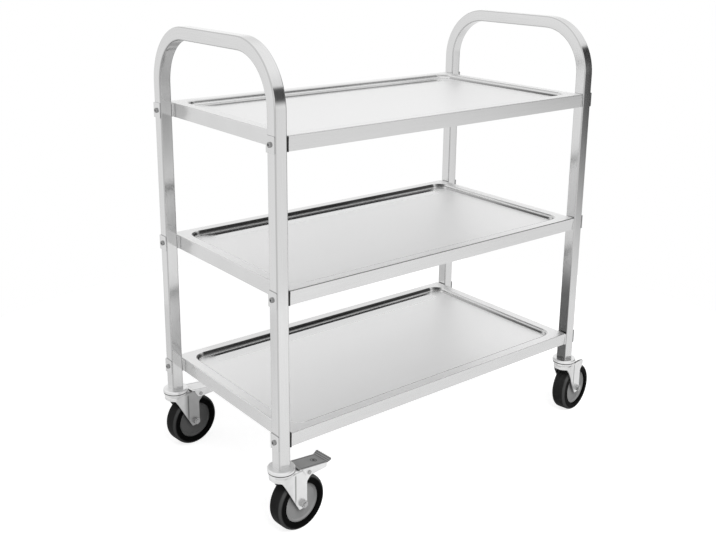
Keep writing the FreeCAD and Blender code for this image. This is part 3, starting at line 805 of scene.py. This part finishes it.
def mark_grain(piece, x):
    """Stores each point's place on the tube as if it were straight, so that the brushing follows the bends.

    The rounded long edges are marked too, for a painted line of shade along them.
    """
    size = bpy.context.scene.cart_frame
    shoulder_y, shoulder_z = handle_shoulder()
    piece.data.attributes.new("grain", "FLOAT_VECTOR", "POINT")
    piece.data.attributes.new("edge", "FLOAT", "POINT")
    marks, edges = piece.data.attributes["grain"], piece.data.attributes["edge"]
    flat_half = TUBE / 2 - size.edge * ROUNDED_PART
    for vert, mark, edge in zip(piece.data.vertices, marks.data, edges.data):
        side = 1 if vert.co.y > 0 else -1
        y, z = abs(vert.co.y) - shoulder_y, vert.co.z - shoulder_z
        if z <= 0:
            off, along = y - size.bend, -z + size.bend * math.pi / 2
        elif y <= 0:
            off, along = z - size.bend, y
        else:
            off, along = math.hypot(y, z) - size.bend, size.bend * math.atan2(y, z)
        mark.vector = (vert.co.x - x, off, side * (along + shoulder_y))
        # Marks the rounded edges for their painted line of shade
        edge.value = float(min(abs(vert.co.x - x), abs(off)) > flat_half)


class CART_OT_end_frames(bpy.types.Operator):
    """Bends the two tube frames"""

    bl_idname = "cart.end_frames"
    bl_label = "End frames"

    def execute(self, context):
        for name, x in (("left_end_frame", -LEG_X), ("right_end_frame", LEG_X)):
            piece = place_piece(f"{name}_tube", frame_tube(x), "frame", finish("tube_steel"),
                                [name])
            mark_grain(piece, x)
        return {"FINISHED"}


def at_rim(bm):
    """Edges of a tray at the height of its rim, before it is put in its place."""
    return [edge for edge in bm.edges if all(abs(vert.co.z) < TINY for vert in edge.verts)]


def tray_shell(node):
    """Pressed tray: lip, apron, rounded fold, flat rim, S-shaped wall and sunk floor."""
    size = bpy.context.scene.cart_tray
    low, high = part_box(node)
    span = high - low
    apron = outlined_apron(span, size)
    recess = rectangle(span.x - 2 * size.rim, span.y - 2 * size.rim, size.corner, FINE_STEPS)
    floor = recess.faces[:]
    steep = 2 * math.atan(size.depth / size.wall)
    bend = size.wall / (2 * math.sin(steep))
    angles = [steep * step / WALL_STEPS for step in range(WALL_STEPS + 1)]
    upper = [(bend * math.sin(angle), bend * (1 - math.cos(angle))) for angle in angles]
    lower = [(size.wall - inset, size.depth - depth) for inset, depth in reversed(upper[:-1])]
    stops = upper + lower + [(size.wall * FLOOR_RING, size.depth)]
    for (inset, depth), (next_inset, next_depth) in zip(stops, stops[1:]):
        bmesh.ops.inset_region(recess, faces=floor, use_boundary=True, use_even_offset=True,
                               thickness=next_inset - inset, depth=depth - next_depth)
    merge_shape(apron, recess)
    bmesh.ops.bridge_loops(apron, edges=[edge for edge in at_rim(apron) if edge.is_boundary])
    fold = [edge for edge in at_rim(apron)
            if any(abs(face.normal.z) < UPRIGHT_BELOW for face in edge.link_faces)]
    round_edges(apron, fold, size.edge)
    bmesh.ops.recalc_face_normals(apron, faces=apron.faces[:])
    widest = max(apron.faces, key=lambda face: face.calc_area())
    if widest.normal.z < 0:
        bmesh.ops.reverse_faces(apron, faces=apron.faces[:])
    give_thickness(apron, size.sheet)
    centre = (low + high) / 2
    bmesh.ops.translate(apron, vec=(centre.x, centre.y, high.z), verts=apron.verts[:])
    return apron


def outlined_apron(span, size):
    """The tray's upright sides with the lip turned in below, open at the top."""
    bm = rectangle(span.x, span.y, size.edge, FINE_STEPS)
    bmesh.ops.delete(bm, geom=bm.faces[:], context="FACES_ONLY")
    sides = bmesh.ops.extrude_edge_only(bm, edges=bm.edges[:])["geom"]
    bmesh.ops.translate(bm, vec=(0, 0, -span.z), verts=verts_of(sides))
    bmesh.ops.scale(bm, vec=(1, 1 - 2 * size.lean / span.y, 1), verts=verts_of(sides))
    lip = bmesh.ops.extrude_edge_only(bm, edges=edges_of(sides))["geom"]
    inward = Vector((1 - 2 * size.lip / span.x, 1 - 2 * size.lip / span.y, 1))
    bmesh.ops.scale(bm, vec=inward, verts=verts_of(lip))
    return bm


def part_way(first, last, share):
    """Value at a share of the way from the first to the last."""
    return first + (last - first) * share


def between(stops, place):
    """Value at a place, on straight lines through (place, value) stops."""
    for (start, first), (end, last) in zip(stops, stops[1:]):
        if place <= end:
            return part_way(first, last, (place - start) / (end - start))
    return stops[-1][1]


def mark_tray_finish_and_shade(piece, node):
    """Marks the faces that look down, which are dull, and the painted shade in the recess.

    Its wall and front fold get painted shade, its floor is level, and so is most of its rim.
    """
    size = bpy.context.scene.cart_tray
    low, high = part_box(node)
    for name, domain in (("dull", "FACE"), ("level", "FACE"), ("shade_and_polish", "POINT")):
        piece.data.attributes.new(name, "FLOAT", domain)
    dull, level, shade_and_polish = (piece.data.attributes[name].data for name in ("dull", "level", "shade_and_polish"))
    for face, down, flat in zip(piece.data.polygons, dull, level):
        down.value = float(face.normal.z < DOWN_BELOW)
        on_floor = face.center.z < high.z - size.depth / 2
        flat.value = float(face.normal.z > LEVEL_ABOVE) * (1.0 if on_floor else RIM_MATT)
    centre = size.rim + size.corner
    for vert, mark in zip(piece.data.vertices, shade_and_polish):
        from_end, from_side = high.x - abs(vert.co.x), high.y - abs(vert.co.y)
        inside = min(from_end, from_side) > size.rim / 2
        below = high.z - vert.co.z
        depth = min(max(below / size.depth, 0.0), 1.0)
        turn = math.degrees(math.atan2(max(centre - from_end, 0.0), max(centre - from_side, TINY)))
        front = 0.5 - vert.co.y / (high.y - low.y)
        along = between(ROUND_LONG, turn) + between(ROUND_CORNER, turn) * part_way(*CORNER_SHARE, front)
        across = between(ROUND_END, turn) * part_way(*END_SHARE, front)
        # Painted shade: dark bands on the recess walls, then a dark line on the front fold
        wall = between(LONG_WALL_SHADE[node], depth) * along + between(END_WALL_SHADE, depth) * across
        on_fold = vert.co.y - low.y < size.edge and FOLD_LINE[0] < below / size.edge < FOLD_LINE[1]
        mark.value = inside * wall + on_fold * FOLD_DARK[node]


class CART_OT_trays(bpy.types.Operator):
    """Presses the three trays"""

    bl_idname = "cart.trays"
    bl_label = "Trays"

    def execute(self, context):
        for node in TRAYS:
            piece = place_piece(f"{node}_sheet", tray_shell(node), "frame", finish("sheet_steel"),
                                [node])
            mark_tray_finish_and_shade(piece, node)
        return {"FINISHED"}


def joint_pads(node, sides):
    """Pads between a tray's ends and the legs, flush with the tray's long sides."""
    size = bpy.context.scene.cart_joint
    low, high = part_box(node)
    thickness = high.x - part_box(node.replace("_pads", ""))[1].x
    bm = bmesh.new()
    for side_x, side_y in sides:
        pad = rectangle(thickness, TUBE - size.pad_inset, size.pad_edge)
        round_edges(pad, raised(pad, high.z - low.z - size.pad_drop), size.pad_edge)
        place = (side_x * (high.x - thickness / 2), side_y * LEG_Y, low.z)
        merge_shape(bm, pad, Matrix.Translation(place))
    return bm


class CART_OT_joints(bpy.types.Operator):
    """Finishes the clamp joints between trays and legs"""

    bl_idname = "cart.joints"
    bl_label = "Clamp joints"

    def execute(self, context):
        for node in TRAYS:
            pads = f"{node}_pads"
            for name, sides, slot, material in (
                    ("joint_pads", ((-1, -1), (1, 1)), "black_pad", "black_nylon"),
                    ("joint_shims", ((-1, 1), (1, -1)), "clamp_plate", "plate_steel")):
                place_piece(f"{node}_{name}", joint_pads(pads, sides), "frame", finish(material), [pads])
            dress([f"{node}_clamp_plates"], finish("plate_steel"))
            dress([f"{node}_bolts", f"{node}_nuts"], finish("fastener_steel"))
        return {"FINISHED"}


def tyre_ring():
    """Tyre about the Z axis: rounded shoulders, and a groove beside the hub on both sides."""
    size = bpy.context.scene.cart_caster
    half = TYRE_WIDTH / 2
    seat = half - size.bead
    near = [
        (size.hub, seat, 0),
        (size.hub + size.bead, seat - size.bead / 2, size.bead / 4),
        (size.hub + 2 * size.bead, seat + size.bead / 8, size.bead / 4),
        (WHEEL_RADIUS, half, size.shoulder),
    ]
    far = [(radius, -height, rounding) for radius, height, rounding in reversed(near)]
    return turned(near + far, FINE_STEPS)


def mark_shoulder_turn(piece, place):
    """Marks a tyre's points from 0 on its side walls, round the shoulders, to 1 on the tread."""
    size = bpy.context.scene.cart_caster
    inner = WHEEL_RADIUS - size.shoulder, TYRE_WIDTH / 2 - size.shoulder
    to_wheel = place.inverted()
    # This place round the shoulder sets where the tyre's painted highlight lies
    shoulder_turn = piece.data.attributes.new("shoulder_turn", "FLOAT", "POINT")
    for vert, mark in zip(piece.data.vertices, shoulder_turn.data):
        spot = to_wheel @ vert.co
        rise, reach = math.hypot(spot.x, spot.y) - inner[0], abs(spot.z) - inner[1]
        mark.value = math.atan2(max(rise, 0), max(reach, 0)) / (math.pi / 2)


class CART_OT_wheels(bpy.types.Operator):
    """Moulds the tyres and finishes the hubs and axles"""

    bl_idname = "cart.wheels"
    bl_label = "Wheels"

    def execute(self, context):
        for name, stand, _ in CASTERS:
            place = wheel_place(*stand)
            bm = bmesh.new()
            merge_shape(bm, tyre_ring(), place)
            piece = place_piece(f"tyre_{name}_rubber", bm, f"wheel_{name}", finish("tyre_rubber"),
                                [f"tyre_{name}"])
            mark_shoulder_turn(piece, place)
            dress([f"hub_{name}"], finish("hub_nylon"))
            dress([f"axle_{name}", f"axle_nut_{name}", f"axle_sleeve_{name}"], finish("axle_steel"))
        return {"FINISHED"}


def pedal_rivet(place):
    """Round-headed rivet in the pedal's hole, with its head dished."""
    size = bpy.context.scene.cart_caster
    radius = size.rivet
    rounding = radius / 6
    rivet = turned([
        (0, -radius, 0),
        (radius * 0.9, -radius, rounding),
        (radius, 0, rounding),
        (radius * 0.6, 0, rounding),
        (radius * 0.5, -radius / 4, rounding),
        (0, -radius / 8, 0),
    ], RIVET_EDGE_STEPS, RIVET_STEPS)
    bm = bmesh.new()
    merge_shape(bm, rivet, place @ pedal_place() @ Matrix.Translation((size.rivet_back, 0, size.pedal_rise)))
    return bm


def pedal_tongue(place):
    """Front end of the pedal's plate, with rounded corners, that reaches on towards the swivel."""
    size = bpy.context.scene.cart_caster
    front, back = -size.pedal_front - size.tongue, -size.pedal_front
    half, corner = size.pedal_half, size.tongue / 2
    tongue = outlined([(front, -half, corner), (back, -half, 0), (back, half, 0), (front, half, corner)])
    lips = [edge for edge in raised(tongue, -size.pedal_sheet)
            if min(vert.co.x for vert in edge.verts) < back - TINY]
    round_edges(tongue, lips, size.pedal_sheet / 5)
    bm = bmesh.new()
    merge_shape(bm, tongue, place @ pedal_place() @ Matrix.Translation((0, 0, size.pedal_rise)))
    return bm


def dust_skirt(place, level):
    """Thin rubber skirt that hangs from the race cap and covers the gap over the balls."""
    size = bpy.context.scene.cart_caster
    wall = size.skirt / 3
    inner = size.ring + wall / 3
    skirt = turned([
        (inner, 0, 0),
        (inner, -size.skirt, wall / 3),
        (inner + wall, -size.skirt, wall / 3),
        (inner + wall, 0, 0),
    ], EDGE_STEPS)
    bm = bmesh.new()
    merge_shape(bm, skirt, place @ Matrix.Translation((0, 0, level)))
    return bm


class CART_OT_casters(bpy.types.Operator):
    """Finishes the forks, swivels and brake pedals"""

    bl_idname = "cart.casters"
    bl_label = "Casters"

    def execute(self, context):
        look, size = context.scene.cart_finishes, context.scene.cart_caster
        for name, stand, braked in CASTERS:
            place = caster_place(*stand)
            dress([f"plug_{name}"], finish("black_nylon"))
            dress([f"stem_{name}", f"race_balls_{name}"], finish("caster_steel"))
            dress([f"fork_{name}"], fork_steel(look, size, name, stand))
            skirt = dust_skirt(place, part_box(f"fork_{name}")[1].z + RACE_GAP)
            place_piece(f"dust_skirt_{name}", skirt, "frame", finish("black_nylon"), [])
            if braked:
                pedal = f"pedal_{name}"
                pressing = pedal_steel(look, size, name, stand)
                dress([pedal], pressing)
                dress([f"pedal_pin_{name}"], finish("axle_steel"))
                place_piece(f"pedal_tongue_{name}", pedal_tongue(place), pedal, pressing, [])
                place_piece(f"pedal_rivet_{name}", pedal_rivet(place), pedal,
                            finish("rivet_steel"), [])
        return {"FINISHED"}


# How bright the floor is: lit, as the camera sees it, and in the steel
FLOOR_GREY = (0.5, 0.5, 0.5, 1.0)
FLOOR_SHOWN = 0.8
FLOOR_MIRRORED = 0.40
WHITE = (1.0, 1.0, 1.0, 1.0)
# How bright the surroundings are: as light, low down in the steel, and then by steps up (from, to, change)
SOFT_LIGHT = 0.42
LOW_LEVEL = 0.86
SKY_STEPS = ((-0.1, 0.0, 0.14), (0.12, 0.45, -0.12), (0.5, 0.8, 0.12))
# The unlit end of the studio, in stretches: heading east and north, where it fades to the side, below and above,
# and how dark it is
UNLIT = 0.95
DARK_STRETCHES = (
    ((0.927, -0.375), (0.9205, 0.9563), (-0.37, -0.14), (0.46, 0.52), 1.0),
    ((0.574, -0.819), (0.9877, 0.9976), (-0.05, 0.16), (0.40, 0.46), 1.0),
    ((0.342, -0.94), (0.978, 0.99), (-0.24, -0.19), (0.09, 0.2), 0.55),
)
# Width of the camera's sensor in millimetres
SENSOR = 36


def stage_rays(wire):
    """Three wires, 1 for camera rays, glossy rays and transmission rays."""
    outputs = wire.node("ShaderNodeLightPath").socket.node.outputs
    return [Wire(wire.tree, outputs[name])
            for name in ("Is Camera Ray", "Is Glossy Ray", "Is Transmission Ray")]


def pale_floor():
    """Pale matt floor that reads as white to the camera and to metal, and keeps the shadow."""
    made, wire = start_material("pale_floor")
    camera, glossy, through = stage_rays(wire)
    shown = (camera + through) * FLOOR_SHOWN + glossy * FLOOR_MIRRORED
    matt = wire.node("ShaderNodeBsdfDiffuse", {}, {"Color": FLOOR_GREY})
    lift = wire.node("ShaderNodeEmission", {}, {"Color": WHITE, "Strength": shown})
    both = wire.node("ShaderNodeAddShader", {}, {0: matt, 1: lift})
    wire.node("ShaderNodeOutputMaterial", {}, {"Surface": both})
    return made


def studio_world():
    """White all round, with the unlit end of the studio as dark stretches in front on the right."""
    world = bpy.data.worlds.new("studio")
    world.use_nodes = True
    world.node_tree.nodes.clear()
    wire = Wire(world.node_tree)
    camera, glossy, through = stage_rays(wire)
    east, north, up = axes_of(wire, wire.node("ShaderNodeTexCoord", {}, {}, "Generated"))
    surround = sum((up.ramp(low, high, 0.0, change) for low, high, change in SKY_STEPS), LOW_LEVEL)
    flat = wire.math("SQRT", 1.0 - up * up)
    dark = 0.0
    for (to_east, to_north), side, low, high, amount in DARK_STRETCHES:
        toward = (east * to_east + north * to_north) / flat
        dark = wire.math("MAXIMUM", dark, toward.ramp(*side) * up.ramp(*low) * up.fade(*high, amount))
    mirror = surround * (1.0 - dark * UNLIT)
    level = camera + through + glossy * mirror + (1.0 - camera - through - glossy) * SOFT_LIGHT
    sky = wire.node("ShaderNodeBackground", {}, {"Color": WHITE, "Strength": level})
    wire.node("ShaderNodeOutputWorld", {}, {"Surface": sky})
    return world


def soft_lamp(name, place, target, size, watts):
    """Large soft lamp that metal doesn't mirror."""
    lamp = bpy.data.lights.new(name, "AREA")
    lamp.shape = "DISK"
    lamp.size = size
    lamp.energy = watts
    holder = bpy.data.objects.new(name, lamp)
    holder.location = place
    holder.rotation_mode = "QUATERNION"
    holder.rotation_quaternion = (Vector(target) - Vector(place)).to_track_quat("-Z", "Y")
    holder.visible_glossy = False
    bpy.context.scene.collection.objects.link(holder)


class CART_OT_stage(bpy.types.Operator):
    """Sets up the floor, light and camera"""

    bl_idname = "cart.stage"
    bl_label = "Stage"

    def execute(self, context):
        stage = context.scene.cart_stage
        bm = bmesh.new()
        bmesh.ops.create_circle(bm, cap_ends=True, segments=FLOOR_STEPS, radius=stage.floor)
        mesh = bpy.data.meshes.new("floor")
        bm.to_mesh(mesh)
        bm.free()
        mesh.materials.append(pale_floor())
        floor = bpy.data.objects.new("floor", mesh)
        context.scene.collection.objects.link(floor)

        context.scene.world = studio_world()
        soft_lamp("key", place=(-0.3, -2.4, 2.6), target=(0, 0, 0.3), size=2.4, watts=90)
        context.scene.view_settings.view_transform = "Standard"

        lens = bpy.data.cameras.new("camera")
        lens.sensor_width = SENSOR
        lens.lens = stage.lens
        lens.shift_y = stage.shift
        camera = bpy.data.objects.new("camera", lens)
        camera.location = stage.place
        back = Vector((math.sin(stage.azimuth) * math.cos(stage.elevation),
                       -math.cos(stage.azimuth) * math.cos(stage.elevation), math.sin(stage.elevation)))
        level = (-back).to_track_quat("-Z", "Y").to_matrix()
        camera.rotation_euler = (level @ Matrix.Rotation(stage.roll, 3, "Z")).to_euler()
        context.scene.collection.objects.link(camera)
        context.scene.camera = camera
        return {"FINISHED"}


class CART_PT_panel(bpy.types.Panel):
    """Sizes, colours and steps of the cart"""

    bl_idname = "CART_PT_panel"
    bl_label = "Serving cart"
    bl_space_type = "VIEW_3D"
    bl_region_type = "UI"
    bl_category = "Cart"

    def draw(self, context):
        layout = self.layout
        for name, group in GROUPS.items():
            box = layout.box()
            settings = getattr(context.scene, name)
            for key in group.__annotations__:
                box.prop(settings, key)
        for operator in OPERATORS:
            layout.operator(operator.bl_idname)


GROUPS = {
    "cart_frame": CartFrameSizes,
    "cart_tray": CartTraySizes,
    "cart_joint": CartJointSizes,
    "cart_caster": CartCasterSizes,
    "cart_finishes": CartFinishes,
    "cart_stage": CartStage,
}
OPERATORS = (
    CART_OT_end_frames, CART_OT_trays, CART_OT_joints, CART_OT_wheels, CART_OT_casters, CART_OT_stage)


def register():
    for group in GROUPS.values():
        bpy.utils.register_class(group)
    for operator in OPERATORS:
        bpy.utils.register_class(operator)
    bpy.utils.register_class(CART_PT_panel)
    for name, group in GROUPS.items():
        setattr(bpy.types.Scene, name, PointerProperty(type=group))


def unregister():
    for name in GROUPS:
        delattr(bpy.types.Scene, name)
    bpy.utils.unregister_class(CART_PT_panel)
    for operator in reversed(OPERATORS):
        bpy.utils.unregister_class(operator)
    for group in reversed(GROUPS.values()):
        bpy.utils.unregister_class(group)


def main():
    register()
    bpy.ops.cart.end_frames()
    bpy.ops.cart.trays()
    bpy.ops.cart.joints()
    bpy.ops.cart.wheels()
    bpy.ops.cart.casters()
    bpy.ops.cart.stage()


if __name__ == "__main__":
    main()
